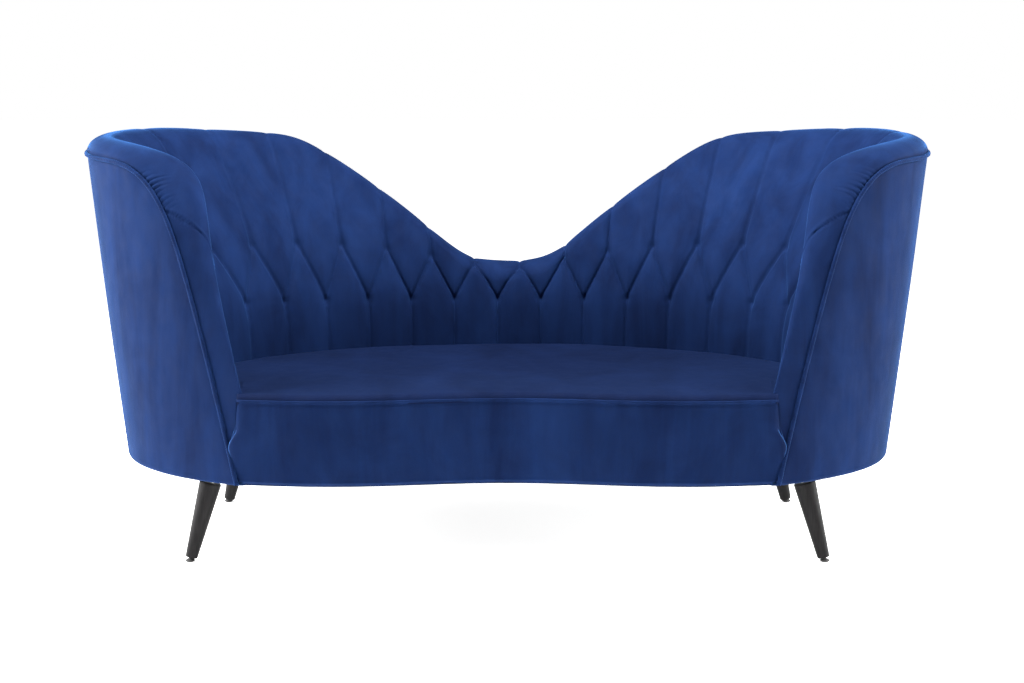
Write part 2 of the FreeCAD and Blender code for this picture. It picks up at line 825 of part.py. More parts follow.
def square_profile(half):
    return [("-" + half, "-" + half), (half, "-" + half), (half, half), ("-" + half, half)]


def plate_body(label):
    """Square steel mounting plate with four screw holes and a slack hole for the tilted bolt."""
    body = doc.addObject("PartDesign::Body", label)
    outline = line_profile(body, label + "_outline", "XY_Plane", square_profile("0.5 * Dimensions.plate_size"))
    pad = body.newObject("PartDesign::Pad", label + "_pad")
    pad.Profile = outline
    pad.setExpression("Length", "Dimensions.plate_thickness")
    doc.recompute()
    holes = body.newObject("Sketcher::SketchObject", label + "_holes")
    plane = [item for item in body.Origin.OriginFeatures if item.Role == "XY_Plane"][0]
    holes.AttachmentSupport = (plane, "")
    holes.MapMode = "FlatFace"
    places = [(x, y, "Dimensions.plate_hole_radius") for x in (-1, 1) for y in (-1, 1)]
    for x, y, radius in places + [(0, 0, "Dimensions.bolt_radius + Dimensions.plate_bolt_slack")]:
        centre = Vector(x, y, 0) * (dim("plate_hole_spacing") / 2)
        index = holes.addGeometry(Part.Circle(centre, Vector(0, 0, 1), evaluate(radius)), False)
        constraint = holes.addConstraint(Sketcher.Constraint("Radius", index, evaluate(radius)))
        holes.setExpression(f"Constraints[{constraint}]", radius)
        for kind, sign, value in (("DistanceX", x, centre.x), ("DistanceY", y, centre.y)):
            constraint = holes.addConstraint(Sketcher.Constraint(kind, -1, 1, index, 3, value))
            if sign:
                text = f"{sign} * 0.5 * Dimensions.plate_hole_spacing"
                holes.setExpression(f"Constraints[{constraint}]", text)
    pocket = body.newObject("PartDesign::Pocket", label + "_pocket")
    pocket.Profile = holes
    pocket.Type = "ThroughAll"
    pocket.Reversed = True
    return body


def plate_centre(side, end):
    return leg_point(side, end, dim("base_height") - dim("plate_thickness"))


def plate_turn(side, end):
    """The plates are turned to stand square to the edge of the base."""
    return Rotation(Vector(0, 0, 1), -side * end * dim("plate_turn"))


def make_plates():
    """Mounting plates under the dust cover, one over each leg."""
    plates = []
    for side, end, name in CORNERS:
        plate = plate_body("plate_" + name)
        plate.Placement = Placement(plate_centre(side, end), plate_turn(side, end))
        plates.append(plate)
    group("leg_mounting_plates", plates)


def cylinder(label, radius, height, base, direction):
    """Part cylinder bound to the sheet, standing on base along direction."""
    item = doc.addObject("Part::Cylinder", label)
    item.setExpression("Radius", radius)
    item.setExpression("Height", height)
    item.Placement = Placement(base, Rotation(Vector(0, 0, 1), direction))
    return item


def screw_places(side, end):
    centre = plate_centre(side, end)
    half = dim("plate_hole_spacing") / 2
    corners = [Vector(x * half, y * half, 0) for x in (-1, 1) for y in (-1, 1)]
    return [centre + plate_turn(side, end).multVec(corner) for corner in corners]


def make_screws():
    """Pan-head screws that hold the plates up to the corner blocks."""
    screws = []
    for side, end, name in CORNERS:
        for place in screw_places(side, end):
            up = Vector(0, 0, 1)
            shank = cylinder("shank", "Dimensions.screw_radius", "Dimensions.screw_length", place, up)
            under = place - Vector(0, 0, dim("screw_head_height"))
            head = cylinder("head", "Dimensions.screw_head_radius", "Dimensions.screw_head_height", under, up)
            screw = doc.addObject("Part::Fuse", "plate_screw_" + name)
            screw.Base = shank
            screw.Tool = head
            screws.append(screw)
    group("plate_screws", screws)


def make_bolts():
    """Hanger bolts, half in the leg and half in the block over the plate."""
    bolts = []
    for side, end, name in CORNERS:
        up = leg_direction(side, end)
        in_leg = dim("bolt_length") * dim("bolt_share_in_leg")
        start = leg_point(side, end, leg_top_height()) - up * in_leg
        bolts.append(cylinder("bolt_" + name, "Dimensions.bolt_radius", "Dimensions.bolt_length", start, up))
    group("leg_bolts", bolts)


def clearance_holes(side, end):
    """Tools that cut room for one leg's bolt and screws out of the pieces above the plate."""
    up = leg_direction(side, end)
    radius = "Dimensions.bolt_radius + Dimensions.bolt_room"
    start = leg_point(side, end, leg_top_height())
    tools = [cylinder("bolt_room", radius, "2 * Dimensions.bolt_length", start, up)]
    radius = "Dimensions.screw_radius + Dimensions.screw_room"
    depth = "Dimensions.screw_length + Dimensions.bolt_room"
    for place in screw_places(side, end):
        tools.append(cylinder("screw_room", radius, depth, place, Vector(0, 0, 1)))
    return tools


def drilled_piece(label, shape, legs):
    """A piece over one or more legs, cut by their bolt and screw holes."""
    tools = [tool for side, end in legs for tool in clearance_holes(side, end)]
    cut = doc.addObject("Part::Cut", label)
    cut.Base = shape_feature(label + "_blank", shape)
    cut.Tool = group(label + "_room", tools)


wall_cloths()
wall_padding()
edge_rolls()
welts()
base_rails()
cross_rails()
leg_rails()
posts()
top_rails()
inner_rails()
webbing()
seat_layers()
front_border()
seat_springs()
make_legs()
make_glides()
make_plates()
make_screws()
make_bolts()
drilled_piece("dust_cover", dust_cover(), [(side, end) for side, end, name in CORNERS])
doc.recompute()


def is_node(item):
    """True for the objects that are handed over as pieces, not the ones they are made from."""
    if not hasattr(item, "Shape") or not item.isDerivedFrom("Part::Feature"):
        return False
    return not [user for user in item.InList if hasattr(user, "Shape")]


nodes = [item for item in doc.Objects if is_node(item)]
for item in doc.Objects:
    if "Invalid" in item.State or "Error" in item.State:
        raise RuntimeError(f"{item.Label} failed: {item.State}")
for node in nodes:
    if node.Shape.isNull() or not node.Shape.isValid() or not node.Shape.Solids:
        raise RuntimeError(f"{node.Label} has no valid solid")
os.makedirs("parts", exist_ok=True)
for node in nodes:
    node.Shape.exportStep(f"parts/{node.Label}.step")
print(len(nodes), "nodes")
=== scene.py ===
"""Looks of a velvet sofa with a fluted, diamond-tufted curved back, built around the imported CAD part.

The wall (back, wings and arms) is described as in the part: by upright sections at an angle about
a pole behind the middle of the sofa. Angle 0 is the middle of the back, 90 a side, about 127 the
front edge of an arm. Lengths are metres and angles degrees.
"""
import json
import math

import bmesh
import bpy
import numpy as np
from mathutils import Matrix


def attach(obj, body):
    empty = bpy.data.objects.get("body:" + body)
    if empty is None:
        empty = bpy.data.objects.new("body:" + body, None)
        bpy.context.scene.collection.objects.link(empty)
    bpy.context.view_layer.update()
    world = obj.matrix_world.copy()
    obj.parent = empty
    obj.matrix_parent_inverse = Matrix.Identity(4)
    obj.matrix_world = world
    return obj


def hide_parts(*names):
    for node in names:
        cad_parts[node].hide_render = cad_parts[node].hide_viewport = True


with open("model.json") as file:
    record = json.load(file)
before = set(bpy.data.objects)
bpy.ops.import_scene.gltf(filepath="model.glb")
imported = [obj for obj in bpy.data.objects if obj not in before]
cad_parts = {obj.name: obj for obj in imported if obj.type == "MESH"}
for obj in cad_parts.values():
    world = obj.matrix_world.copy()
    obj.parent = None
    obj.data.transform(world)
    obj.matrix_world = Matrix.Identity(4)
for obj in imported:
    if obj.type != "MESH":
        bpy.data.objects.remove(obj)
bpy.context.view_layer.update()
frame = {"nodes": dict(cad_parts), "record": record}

MM = 0.001
SIDES = ((-1, "left"), (1, "right"))
CORNERS = (
    (-1, -1, "front_left"), (1, -1, "front_right"),
    (-1, 1, "rear_left"), (1, 1, "rear_right"),
)

# ---------------------------------------------------------------- sizes shared with the part

POLE = 0.030
BASE = 0.178
OUTER_SIDE = 0.865
OUTER_REAR = 0.335
OUTER_FRONT = 0.510
REAR_POWER = 2.3
FRONT_POWER = 2.5
SIDE_LEAN = 0.11
REAR_LEAN = 0.116
FRONT_LEAN = 0.13
SEAT = 0.372
SEAT_TUCK = 0.330
TUCK_MARGIN = 0.020
INNER_HALF = 0.660
INNER_REAR = 0.410
INNER_FRONT = 0.420
INNER_CENTRE = -0.146
INNER_LEAN = 0.55
INNER_LEAN_START = 0.540
INNER_LEAN_BLEND = 0.060
INNER_CENTRE_LEAN = 0.45
INNER_FRONT_LEAN = 1.3
CREST_LEVEL = 0.8
CREST_SIDE = 80
CREST_LOW = 0.565
CREST_SLOPE = 0.85
CREST_SLOPE_START = 0.136
CREST_SLOPE_END = 0.505
CREST_LOW_BLEND = 0.036
CREST_HIGH_BLEND = 0.024
WING_RISE = 0.077
WING_RISE_START = 0.510
WING_RISE_BLEND = 0.030
ARM_FALL = 0.0011
ARM_FALL_START = 84
ARM_FALL_BLEND = 4
FRONT_EDGE = 0.368
FRONT_EDGE_RISE = 0.0342
WELT_RISE = 0.0448
WELT_FOOT = 127.6
WELT_DROP = 0.040
WELT_RADIUS = 0.0045
CORNER_BLEND = 0.092
CORNER_ANGLE = 111.0
CORNER_SPREAD = 7.0
CORNER_LIFT = 0.022
INNER_DROP = 0.044
ARM_END = 127.2
COVER_END = 127.5
BACK_END = 75.0
BORDER_HALF = 0.560
BORDER_MEAN = 0.398
BORDER_WAVE = 0.017
BORDER_WAVE_LENGTH = 0.370


def ramp(value, start, blend):
    """Zero below start and value - start above it, with a rounded corner."""
    return blend * np.logaddexp(0, (value - start) / blend)


def soft_minimum(first, second, blend):
    return -blend * np.logaddexp(-first / blend, -second / blend)


def smooth_step(value, start, end):
    x = np.clip((value - start) / (end - start), 0, 1)
    return x * x * (3 - 2 * x)


def outer_reach(angle, height):
    """Distance of the outside surface from the pole."""
    turn = np.radians(angle)
    up = height - BASE
    behind = np.cos(turn) >= 0
    side = OUTER_SIDE + SIDE_LEAN * up
    end = np.where(behind, OUTER_REAR + REAR_LEAN * up, OUTER_FRONT - FRONT_LEAN * up)
    power = np.where(behind, REAR_POWER, FRONT_POWER)
    across = np.abs(np.sin(turn)) / side
    along = np.abs(np.cos(turn)) / end
    return (across ** power + along ** power) ** (-1 / power)


def inner_reach(angle, height):
    """Distance of the inside surface from the pole: a half ellipse behind, another in front."""
    turn = np.radians(angle)
    lean = INNER_LEAN * ramp(height, INNER_LEAN_START, INNER_LEAN_BLEND)
    side = INNER_HALF + lean
    back_shift = INNER_CENTRE_LEAN * lean
    shift = POLE - INNER_CENTRE - back_shift

    def ellipse(end):
        a = (np.sin(turn) / side) ** 2 + (np.cos(turn) / end) ** 2
        b = 2 * np.cos(turn) * shift / end ** 2
        c = (shift / end) ** 2 - 1
        return (-b + np.sqrt(np.maximum(b * b - 4 * a * c, 0))) / (2 * a)

    rear = ellipse(INNER_REAR + lean - back_shift)
    front = ellipse(INNER_FRONT - INNER_FRONT_LEAN * lean)
    return np.where(rear * np.cos(turn) + shift >= 0, rear, front)


def crest_height(angle):
    """Highest line of the padded edge: the valley in the middle, the wings, then down the arm."""
    reach = (outer_reach(angle, CREST_LEVEL) + inner_reach(angle, CREST_LEVEL)) / 2
    across = np.abs(reach * np.sin(np.radians(np.minimum(np.abs(angle), CREST_SIDE))))
    slope = ramp(across, CREST_SLOPE_START, CREST_LOW_BLEND)
    slope = slope - ramp(across, CREST_SLOPE_END, CREST_HIGH_BLEND)
    top = CREST_LOW + CREST_SLOPE * slope + WING_RISE * ramp(across, WING_RISE_START, WING_RISE_BLEND)
    top = top - ARM_FALL * ramp(np.abs(angle), ARM_FALL_START, ARM_FALL_BLEND)
    front = FRONT_EDGE + FRONT_EDGE_RISE * (ARM_END - np.abs(angle))
    return soft_minimum(top, front, CORNER_BLEND)


def welt_height(angle):
    """Height of the welt on the outside surface, which lies closer to the crest at the corner."""
    front = BASE + WELT_RISE * (WELT_FOOT - np.abs(angle))
    lift = CORNER_LIFT * np.exp(-((np.abs(angle) - CORNER_ANGLE) / CORNER_SPREAD) ** 2)
    return soft_minimum(crest_height(angle) - WELT_DROP + lift, front, CORNER_BLEND / 4)


def place(angle, reach, height):
    turn = np.radians(angle)
    spread = np.broadcast_arrays(reach * np.sin(turn), POLE + reach * np.cos(turn), height)
    return np.stack(spread, axis=-1)


def border_line(across):
    """Front outline in plan: two full lobes with a shallow recess between them."""
    return BORDER_WAVE * np.cos(math.pi * across / BORDER_WAVE_LENGTH) - BORDER_MEAN


# ---------------------------------------------------------------- mesh helpers

def new_mesh(name, points, faces):
    """Smooth-shaded object whose faces all turn outward."""
    mesh = bpy.data.meshes.new(name)
    mesh.from_pydata([tuple(p) for p in points], [], faces)
    mesh.update()
    piece = bpy.data.objects.new(name, mesh)
    bpy.context.collection.objects.link(piece)
    work = bmesh.new()
    work.from_mesh(mesh)
    bmesh.ops.remove_doubles(work, verts=work.verts, dist=1e-6)
    bmesh.ops.recalc_face_normals(work, faces=work.faces)
    work.to_mesh(mesh)
    work.free()
    mesh.polygons.foreach_set("use_smooth", [True] * len(mesh.polygons))
    return piece


def closed_grid(name, grid):
    """Solid from a rows x columns grid whose rows close on themselves, with both ends capped."""
    rows, columns = grid.shape[:2]
    faces = []
    for i in range(rows):
        after = (i + 1) % rows
        first = i * columns
        second = after * columns
        faces += [(first + j, first + j + 1, second + j + 1, second + j) for j in range(columns - 1)]
    points = list(grid.reshape(-1, 3))
    for end in (0, columns - 1):
        middle = len(points)
        points.append(grid[:, end].mean(axis=0))
        faces += [(i * columns + end, (i + 1) % rows * columns + end, middle) for i in range(rows)]
    return new_mesh(name, points, faces)


def grid_normals(grid):
    """Unit normals of a rows x columns grid of points."""
    down = np.gradient(grid, axis=0)
    along = np.gradient(grid, axis=1)
    normal = np.cross(down, along)
    return normal / np.maximum(np.linalg.norm(normal, axis=2, keepdims=True), 1e-12)


def finish_piece(piece, material, nodes):
    """Material, body and the CAD nodes that the piece stands for."""
    piece.data.materials.append(material)
    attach(piece, "root")
    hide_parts(*nodes)
    return piece


# ---------------------------------------------------------------- materials

def start_material(name, roughness, metallic=0.0):
    """New material with its node tree and its main shader."""
    material = bpy.data.materials.new(name)
    material.use_nodes = True
    tree = material.node_tree
    shader = tree.nodes["Principled BSDF"]
    shader.inputs["Roughness"].default_value = roughness
    shader.inputs["Metallic"].default_value = metallic
    return material, tree, shader


def scaled_noise(tree, scale, stretch=(1, 1, 1), detail=3.0, roughness=0.55, distortion=0.0):
    """Noise in the object's own coordinates, stretched along its axes."""
    coordinates = tree.nodes.new("ShaderNodeTexCoord")
    mapping = tree.nodes.new("ShaderNodeMapping")
    mapping.inputs["Scale"].default_value = stretch
    noise = tree.nodes.new("ShaderNodeTexNoise")
    noise.inputs["Scale"].default_value = scale
    noise.inputs["Detail"].default_value = detail
    noise.inputs["Roughness"].default_value = roughness
    noise.inputs["Distortion"].default_value = distortion
    tree.links.new(coordinates.outputs["Object"], mapping.inputs["Vector"])
    tree.links.new(mapping.outputs["Vector"], noise.inputs["Vector"])
    return noise.outputs["Fac"]


def spread(tree, value, low, high, out_low=0.0, out_high=1.0):
    """The part of a value between low and high, spread over the given range."""
    node = tree.nodes.new("ShaderNodeMapRange")
    node.inputs["From Min"].default_value = low
    node.inputs["From Max"].default_value = high
    node.inputs["To Min"].default_value = out_low
    node.inputs["To Max"].default_value = out_high
    tree.links.new(value, node.inputs["Value"])
    return node.outputs["Result"]


def mix_colours(tree, factor, first, second):
    """Blend of two colours by a socket's value."""
    node = tree.nodes.new("ShaderNodeMix")
    node.data_type = "RGBA"
    tree.links.new(factor, node.inputs["Factor"])
    for socket, colour in (("A", first), ("B", second)):
        target = [s for s in node.inputs if s.name == socket and s.type == "RGBA"][0]
        if isinstance(colour, tuple):
            target.default_value = (*colour, 1)
        else:
            tree.links.new(colour, target)
    return [s for s in node.outputs if s.type == "RGBA"][0]


def blend_values(tree, first, second, operation):
    """One arithmetic step on two sockets or numbers."""
    node = tree.nodes.new("ShaderNodeMath")
    node.operation = operation
    for socket, value in zip(node.inputs, (first, second)):
        if isinstance(value, float):
            socket.default_value = value
        else:
            tree.links.new(value, socket)
    return node.outputs[0]


def add_bump(tree, shader, height, distance, strength, after=None):
    """Fine relief on a shader, on top of any relief that is already there."""
    bump = tree.nodes.new("ShaderNodeBump")
    bump.inputs["Distance"].default_value = distance
    bump.inputs["Strength"].default_value = strength
    tree.links.new(height, bump.inputs["Height"])
    if after is not None:
        tree.links.new(after, bump.inputs["Normal"])
    tree.links.new(bump.outputs["Normal"], shader.inputs["Normal"])
    return bump.outputs["Normal"]


def velvet(name, dark, light, streaks=(9.0, 9.0, 1.3), sheen=0.30):
    """Short blue pile: brushed streaks and patches, a soft sheen and a fine nap."""
    material, tree, shader = start_material(name, 0.85)
    brushed = scaled_noise(tree, 1.6, streaks, detail=4, roughness=0.6, distortion=0.5)
    patches = scaled_noise(tree, 6.5, (1, 1, 0.75), detail=5, roughness=0.62, distortion=0.9)
    nap = scaled_noise(tree, 620, detail=2, roughness=0.7)
    crush = scaled_noise(tree, 38, (1, 1, 0.6), detail=4, roughness=0.6)
    long_strokes = spread(tree, brushed, 0.34, 0.66, 0.0, 0.95)
    soft_patches = spread(tree, patches, 0.34, 0.66, 0.15, 0.85)
    amount = blend_values(tree, long_strokes, soft_patches, "ADD")
    amount = blend_values(tree, amount, spread(tree, nap, 0.3, 0.7, -0.12, 0.12), "ADD")
    amount = blend_values(tree, amount, 0.5, "MULTIPLY")
    tree.links.new(mix_colours(tree, amount, dark, light), shader.inputs["Base Color"])
    tree.links.new(spread(tree, crush, 0.3, 0.7, 0.78, 0.95), shader.inputs["Roughness"])
    shader.inputs["Specular IOR Level"].default_value = 0.05
    shader.inputs["Sheen Weight"].default_value = sheen
    shader.inputs["Sheen Roughness"].default_value = 0.30
    shader.inputs["Sheen Tint"].default_value = (0.10, 0.36, 1.0, 1)
    first = add_bump(tree, shader, crush, 1.2 * MM, 0.35)
    add_bump(tree, shader, nap, 0.35 * MM, 0.5, after=first)
    return material


def black_wood(name):
    """Black satin paint on turned wood, with the grain just showing and slight wear in its gloss."""
    material, tree, shader = start_material(name, 0.4)
    grain = scaled_noise(tree, 26, (7, 7, 0.5), detail=5, roughness=0.65, distortion=1.2)
    pores = scaled_noise(tree, 420, (1, 1, 0.06), detail=2, roughness=0.6)
    worn = scaled_noise(tree, 60, detail=4, roughness=0.6)
    share = spread(tree, grain, 0.35, 0.7)
    colour = mix_colours(tree, share, (0.004, 0.0038, 0.0040), (0.011, 0.0100, 0.0105))
    tree.links.new(colour, shader.inputs["Base Color"])
    tree.links.new(spread(tree, worn, 0.3, 0.7, 0.36, 0.52), shader.inputs["Roughness"])
    first = add_bump(tree, shader, grain, 0.3 * MM, 0.35)
    add_bump(tree, shader, pores, 0.15 * MM, 0.5, after=first)
    shader.inputs["Specular IOR Level"].default_value = 0.12
    return material


def bare_wood(name):
    """Sawn birch of the hidden frame."""
    material, tree, shader = start_material(name, 0.7)
    rings = scaled_noise(tree, 9, (1, 8, 8), detail=4, roughness=0.6, distortion=1.5)
    fibre = scaled_noise(tree, 240, (0.08, 1, 1), detail=3)
    colour = mix_colours(tree, spread(tree, rings, 0.3, 0.7), (0.42, 0.27, 0.14), (0.62, 0.44, 0.26))
    tree.links.new(colour, shader.inputs["Base Color"])
    tree.links.new(spread(tree, fibre, 0.3, 0.7, 0.6, 0.8), shader.inputs["Roughness"])
    add_bump(tree, shader, fibre, 0.3 * MM, 0.4)
    return material


def plated_steel(name):
    """Zinc-plated steel of the springs, clips, plates, screws and bolts."""
    material, tree, shader = start_material(name, 0.35, metallic=1.0)
    brushed = scaled_noise(tree, 90, (1, 12, 1), detail=3)
    spots = scaled_noise(tree, 35, detail=4)
    colour = mix_colours(tree, spread(tree, spots, 0.35, 0.7), (0.46, 0.45, 0.43), (0.62, 0.61, 0.58))
    tree.links.new(colour, shader.inputs["Base Color"])
    tree.links.new(spread(tree, brushed, 0.3, 0.7, 0.28, 0.5), shader.inputs["Roughness"])
    add_bump(tree, shader, brushed, 0.08 * MM, 0.4)
    return material


def nylon(name):
    """Dark nylon of the glides, scuffed by the floor."""
    material, tree, shader = start_material(name, 0.5)
    scuffs = scaled_noise(tree, 120, detail=4, roughness=0.7)
    colour = mix_colours(tree, spread(tree, scuffs, 0.35, 0.75), (0.020, 0.020, 0.021), (0.060, 0.058, 0.056))
    tree.links.new(colour, shader.inputs["Base Color"])
    tree.links.new(spread(tree, scuffs, 0.3, 0.7, 0.42, 0.7), shader.inputs["Roughness"])
    add_bump(tree, shader, scuffs, 0.15 * MM, 0.4)
    return material


def woven(name, dark, light, pitch, roughness=0.9):
    """Plain weave in plan, from two crossing wave textures."""
    material, tree, shader = start_material(name, roughness)
    coordinates = tree.nodes.new("ShaderNodeTexCoord")
    threads = []
    for direction in ("X", "Y"):
        wave = tree.nodes.new("ShaderNodeTexWave")
        wave.wave_type = "BANDS"
        wave.bands_direction = direction
        wave.inputs["Scale"].default_value = math.pi / 10 / pitch
        wave.inputs["Distortion"].default_value = 0.4
        wave.inputs["Detail"].default_value = 1.0
        tree.links.new(coordinates.outputs["Object"], wave.inputs["Vector"])
        threads.append(wave.outputs["Fac"])
    height = blend_values(tree, threads[0], threads[1], "MAXIMUM")
    fuzz = scaled_noise(tree, 90, detail=4)
    amount = blend_values(tree, height, spread(tree, fuzz, 0.3, 0.7, 0.5, 1.0), "MULTIPLY")
    tree.links.new(mix_colours(tree, amount, dark, light), shader.inputs["Base Color"])
    tree.links.new(spread(tree, fuzz, 0.3, 0.7, roughness - 0.1, roughness), shader.inputs["Roughness"])
    add_bump(tree, shader, height, 0.3 * MM, 0.5)
    return material


def open_foam(name):
    """Pale yellow foam with open cells."""
    material, tree, shader = start_material(name, 0.95)
    cells = scaled_noise(tree, 300, detail=3, roughness=0.7)
    colour = mix_colours(tree, spread(tree, cells, 0.35, 0.65), (0.52, 0.44, 0.26), (0.78, 0.70, 0.48))
    tree.links.new(colour, shader.inputs["Base Color"])
    tree.links.new(spread(tree, cells, 0.3, 0.7, 0.85, 1.0), shader.inputs["Roughness"])
    add_bump(tree, shader, cells, 0.6 * MM, 0.6)
    return material


DEEP = (0.0016, 0.0056, 0.027)
LIVELY = (0.0055, 0.0175, 0.070)
VELVET = velvet("velvet", DEEP, LIVELY)
WELT_VELVET = velvet("welt_velvet", DEEP, LIVELY, streaks=(20, 20, 20))
# Seat velvet: the same velvet painted darker and with less sheen. This is painted shade for the darker look
# of the seat's pile seen from the front.
SEAT_SHADE_DEEP = (0.0015, 0.0045, 0.0205)
SEAT_SHADE_LIVELY = (0.0034, 0.0095, 0.0405)
SEAT_SHADED_VELVET = velvet("seat_velvet_painted_shade", SEAT_SHADE_DEEP, SEAT_SHADE_LIVELY, streaks=(3.0, 1.6, 3.0), sheen=0.05)
BLACK_WOOD = black_wood("black_wood")
MATERIALS = {
    "velvet": VELVET,
    "velvet_welt": WELT_VELVET,
    "black_lining": woven("black_lining", (0.006, 0.006, 0.007), (0.030, 0.030, 0.032), 0.0012),
    "webbing": woven("webbing", (0.20, 0.13, 0.06), (0.55, 0.42, 0.24), 0.0030),
    "foam": open_foam("foam"),
    "steel": plated_steel("steel"),
    "leg_wood": BLACK_WOOD,
    "glide": nylon("glide"),
    "frame_wood": bare_wood("frame_wood"),
}


# ---------------------------------------------------------------- tufting of the inside

TUFT_PITCH = 0.104
TUFT_START = -0.024
FIRST_TUFT = -6.5
LAST_TUFT = 7.5
TUFT_FADE = 0.25
LOW_KNOTS = 0.482
LOW_KNOTS_RISE = 0.047
HIGH_KNOTS = 0.570
HIGH_KNOTS_RISE = 0.062
HIGH_KNOTS_SPREAD = 0.30
DIAMONDS_BELOW = 0.06
DIAMONDS_ABOVE = 0.08
NO_SEAM = 1.0
SEAM_BLEND = 0.004
FLATTER_ABOVE = 0.62
FLATTER_ABOVE_RUN = 0.13
FLATTER_BELOW = 0.5
FLATTER_BELOW_START = 0.005
FLATTER_BELOW_END = 0.070
PUFF = 0.0085
PUFF_LEVEL = 0.28
PUFF_WIDTH = 0.013
CREASE = 0.0032
CREASE_WIDTH = 0.0029
DIMPLE = 0.0030
DIMPLE_WIDTH = 0.010
SEARCH_STEPS = 12
SEARCH_REACH = 0.2
TABLE_POINTS = 4001


def tuft_position(points):
    """Place of the nearest point on the inside line at the seat, counted in tufts along it."""
    across, along = points[..., 0], points[..., 1]
    turn = np.arctan2(across / INNER_HALF, (along - INNER_CENTRE) / INNER_REAR)
    for _ in range(SEARCH_STEPS):
        end = np.where(np.cos(turn) >= 0, INNER_REAR, INNER_FRONT)
        off_x = across - INNER_HALF * np.sin(turn)
        off_y = along - INNER_CENTRE - end * np.cos(turn)
        to_x, to_y = INNER_HALF * np.cos(turn), -end * np.sin(turn)
        error = off_x * to_x + off_y * to_y
        slope = -(to_x ** 2 + to_y ** 2) - off_x * INNER_HALF * np.sin(turn) - off_y * end * np.cos(turn)
        turn = turn - np.clip(error / np.minimum(slope, -0.02), -SEARCH_REACH, SEARCH_REACH)
    table = np.linspace(-math.pi, math.pi, TABLE_POINTS)
    ends = np.where(np.cos(table) >= 0, INNER_REAR, INNER_FRONT)
    speed = np.hypot(INNER_HALF * np.cos(table), ends * np.sin(table))
    length = np.concatenate(([0], np.cumsum((speed[1:] + speed[:-1]) / 2 * np.diff(table))))
    length -= np.interp(0, table, length)
    return (np.interp(turn, table, length) - TUFT_START) / TUFT_PITCH


def tuft_depth(tuft, height):
    """How far the tufted surface stands out from its nominal one, at tuft positions and heights."""
    along = tuft * TUFT_PITCH + TUFT_START
    half = TUFT_PITCH / 2
    low = LOW_KNOTS + LOW_KNOTS_RISE * along ** 2
    high = HIGH_KNOTS + HIGH_KNOTS_RISE * (1 - np.exp(-(along / HIGH_KNOTS_SPREAD) ** 2))
    to_low = np.abs(tuft - np.round(tuft)) * TUFT_PITCH
    to_high = half - to_low
    rise = high - low
    diagonal = low + rise * to_low / half
    to_diagonal = np.abs(height - diagonal) * half / np.hypot(half, rise)
    to_low_knot = np.hypot(to_low, height - low)
    to_high_knot = np.hypot(to_high, height - high)
    upper = height > diagonal
    seam = np.where(upper, to_high, to_low)
    seam = np.where(upper & (height < high), to_high_knot, seam)
    seam = np.where(~upper & (height > low), to_low_knot, seam)
    near_zone = (height > low - DIAMONDS_BELOW) & (height < high + DIAMONDS_ABOVE)
    diagonal_way = np.where(near_zone, to_diagonal, NO_SEAM)
    distance = np.maximum(soft_minimum(seam, diagonal_way, SEAM_BLEND), 0)
    fullness = 1 - FLATTER_ABOVE * smooth_step(height, high, high + FLATTER_ABOVE_RUN)
    fullness *= 1 - FLATTER_BELOW * smooth_step(low - height, FLATTER_BELOW_START, FLATTER_BELOW_END)
    puff = fullness * PUFF * (PUFF_LEVEL - np.exp(-distance / PUFF_WIDTH))
    crease = -CREASE * (0.5 + 0.5 * fullness) * np.exp(-(distance / CREASE_WIDTH) ** 2)
    knot = np.minimum(to_low_knot, to_high_knot)
    dimple = -DIMPLE * np.exp(-(knot / DIMPLE_WIDTH) ** 2)
    return puff + crease + dimple


# ---------------------------------------------------------------- padded wall, inside

ROLL_ROWS = 46
INSIDE_ROWS = 128
LINING_ROWS = 9
MIDDLE_COLUMNS = 621
SIDE_COLUMNS = 45
CORNER_COLUMNS = 161
FRONT_COLUMNS = 81
FRONT_START = 100.0
CORNER_START = 108.0
CORNER_STOP = 117.0
FRONT_TURN_START = 106
FRONT_TURN_SPAN = 10
CREST_SHARE = 0.5
CREST_SHARE_GAIN = 0.2
INNER_TURN_LIMIT = 0.75
WELT_MARGIN = 0.004
FULL_TUFT = 0.030
CREST_FADE = 0.016
WELT_PULL = 0.0025
WELT_PULL_RUN = 0.010
PAD_SHARE = 0.3
THINNEST_PAD = 0.004
THICKEST_PAD = 0.018
PAD_LEVEL = 0.5
GATHER_ANGLE = 112.6
GATHER_SPREAD = 1.7
GATHER_PITCH = 0.0120
GATHER_DEPTH = 0.0062
GATHER_REACH = 0.023
GATHER_LEVEL = 0.6
FOLD_START = 114.2
FOLD_END = 119.0
FOLD_RUN = 0.034
FOLD_DEPTH = 0.0026
FOLD_WIDTH = 0.0022
FOLD_FADE_IN = 0.08
FOLD_FADE_OUT = 0.90


def wall_angles():
    """Columns of the wall: even along the back, close together round the arm fronts."""
    middle = np.linspace(-FRONT_START, FRONT_START, MIDDLE_COLUMNS)
    side = np.linspace(FRONT_START, CORNER_START, SIDE_COLUMNS)[1:]
    corner = np.linspace(CORNER_START, CORNER_STOP, CORNER_COLUMNS)[1:]
    front = np.linspace(CORNER_STOP, ARM_END, FRONT_COLUMNS)[1:]
    front = np.concatenate((side, corner, front))
    return np.concatenate((-front[::-1], middle, front))


def conic(start, control, end, rows):
    """Quarter ellipse from start to end that leaves and arrives along the lines to control."""
    share = np.sin(np.linspace(0, math.pi / 2, rows))[:, None] ** 2
    weight = math.sqrt(0.5)
    first = (1 - share) ** 2
    second = 2 * weight * share * (1 - share)
    third = share ** 2
    total = first + second + third
    return [(first * a + second * b + third * c) / total for a, b, c in zip(start, control, end)]


def inner_top_height(angle):
    """Height at which the padded edge runs into the inside of the wall."""
    return np.maximum(SEAT_TUCK + TUCK_MARGIN, crest_height(angle) - INNER_DROP)


